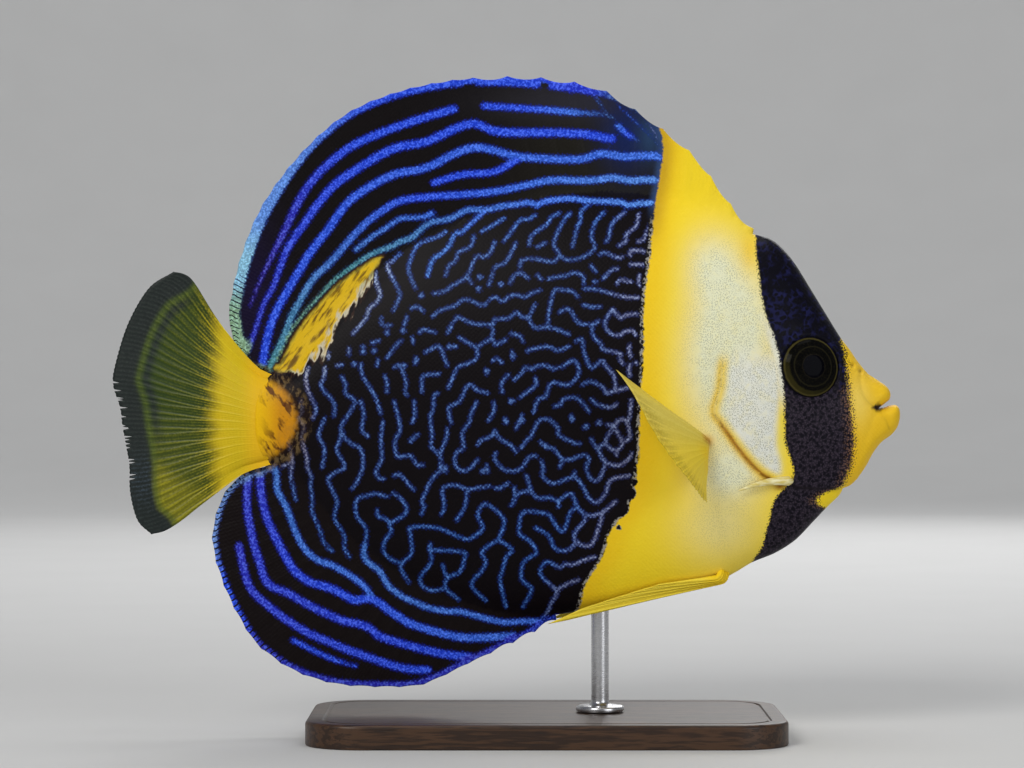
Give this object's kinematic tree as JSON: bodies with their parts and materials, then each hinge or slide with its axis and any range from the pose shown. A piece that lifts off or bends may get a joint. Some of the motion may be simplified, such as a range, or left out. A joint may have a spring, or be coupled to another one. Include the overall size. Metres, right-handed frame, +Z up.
{
  "type": "scribbled angelfish",
  "caption": "Life-size marine angelfish with tall rounded dorsal and anal fins and a fan tail, swimming level on a rod over a flat rounded base.",
  "frame": {"origin": "middle of the whole object's box, at the level of the base's underside", "axes": "+X from tail to lips along the fish, +Y towards the fish's left side, +Z up"},
  "size_m": [0.197, 0.0714, 0.165],
  "materials": {
    "mask_skin": "satin, near-black navy with purple-grey stipple",
    "snout_skin": "satin golden yellow",
    "silver_skin": "satin, silver stipple with yellow",
    "spine": "smooth pale yellow",
    "eye": "polished black with a thin gold ring",
    "scribbled_skin": "satin, dark navy with fine blue scribbles",
    "tail_skin": "satin orange yellow",
    "tail_membrane": "satin, yellow at its root, olive and blue-grey outwards",
    "fin_membrane": "satin, thin, golden yellow",
    "base_wood": "dark stained, satin",
    "rod_steel": "brushed"
  },
  "bodies": {
    "root": {"head": "mask_skin", "upper_jaw": "snout_skin", "lower_jaw": "snout_skin", "gill_cover_left": "silver_skin", "gill_cover_right": "silver_skin", "cheek_spine_left": "spine", "cheek_spine_right": "spine", "eye_left": "eye", "eye_right": "eye", "torso": "scribbled_skin", "tail_root": "tail_skin", "tail_fin": "tail_membrane", "dorsal_fin_spiny": "scribbled_skin", "dorsal_fin_soft": "scribbled_skin", "anal_fin": "scribbled_skin", "pectoral_fin_left": "fin_membrane", "pectoral_fin_right": "fin_membrane", "pelvic_fin_left": "fin_membrane", "pelvic_fin_right": "fin_membrane", "stand_base": "base_wood", "stand_rod": "rod_steel"}
  },
  "joints": []
}
